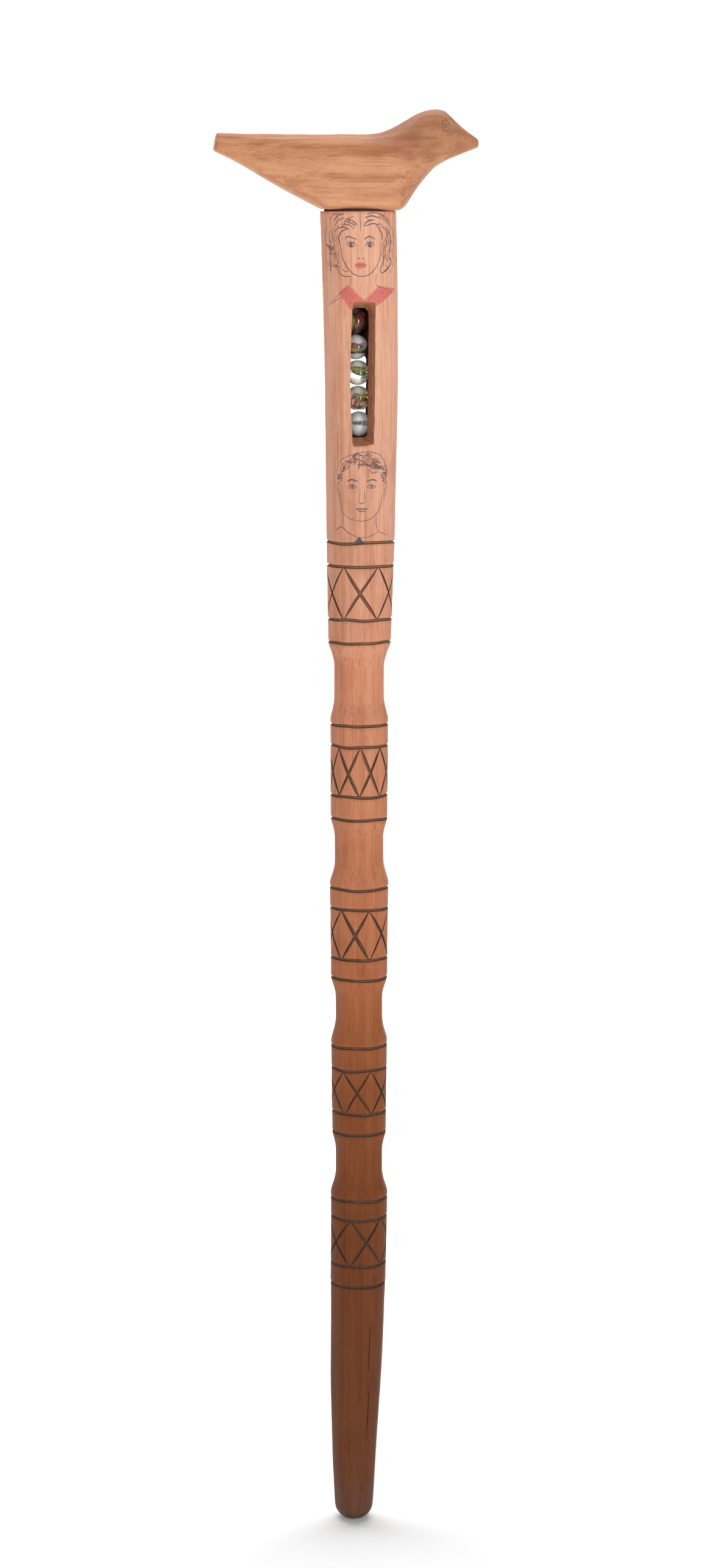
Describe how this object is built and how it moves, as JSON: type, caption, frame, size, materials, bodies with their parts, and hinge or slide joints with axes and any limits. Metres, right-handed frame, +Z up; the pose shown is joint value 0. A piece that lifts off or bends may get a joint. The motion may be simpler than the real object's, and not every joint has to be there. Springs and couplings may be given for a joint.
{
  "type": "walking stick",
  "caption": "Carved wooden walking stick with a bird-shaped handle, patterned bands and a window onto loose glass marbles in the shaft.",
  "frame": {"origin": "on the floor at the foot's flat end, on the axis of the shaft", "axes": "+Z up the shaft to the handle, +X from the bird's tail to its beak, -Y the front with the portraits"},
  "size_m": [0.1673, 0.0496, 0.93],
  "materials": {
    "shaft_wood": "satin",
    "handle_wood": "satin",
    "dowel_wood": "matte",
    "clear_glass": "gloss",
    "pale_green_glass": "gloss",
    "amber_glass": "gloss",
    "green_glass": "gloss",
    "red_glass": "gloss",
    "dark_red_glass": "gloss"
  },
  "bodies": {
    "stick": {"shaft": "shaft_wood", "bird_handle": "handle_wood", "handle_dowel": "dowel_wood"},
    "ball_1": {"marble_1": "clear_glass", "marble_1_vane": "pale_green_glass"},
    "ball_2": {"marble_2": "clear_glass", "marble_2_vane": "amber_glass"},
    "ball_3": {"marble_3": "clear_glass", "marble_3_vane": "green_glass"},
    "ball_4": {"marble_4": "clear_glass", "marble_4_vane": "red_glass"},
    "ball_5": {"marble_5": "clear_glass", "marble_5_vane": "dark_red_glass"}
  },
  "joints": [
    {"name": "ball_1_slide", "type": "slide", "parent": "stick", "child": "ball_1", "axis": [0, 0, 1], "range_m": [0, 0.0118]},
    {"name": "ball_2_slide", "type": "slide", "parent": "stick", "child": "ball_2", "axis": [0, 0, 1], "range_m": [0, 0.0118]},
    {"name": "ball_3_slide", "type": "slide", "parent": "stick", "child": "ball_3", "axis": [0, 0, 1], "range_m": [0, 0.0118]},
    {"name": "ball_4_slide", "type": "slide", "parent": "stick", "child": "ball_4", "axis": [0, 0, 1], "range_m": [0, 0.0118]},
    {"name": "ball_5_slide", "type": "slide", "parent": "stick", "child": "ball_5", "axis": [0, 0, 1], "range_m": [0, 0.0118]}
  ],
  "couplings": [
    {"joint": "ball_2_slide", "follows": "ball_1_slide", "ratio": 1},
    {"joint": "ball_3_slide", "follows": "ball_1_slide", "ratio": 1},
    {"joint": "ball_4_slide", "follows": "ball_1_slide", "ratio": 1},
    {"joint": "ball_5_slide", "follows": "ball_1_slide", "ratio": 1}
  ]
}
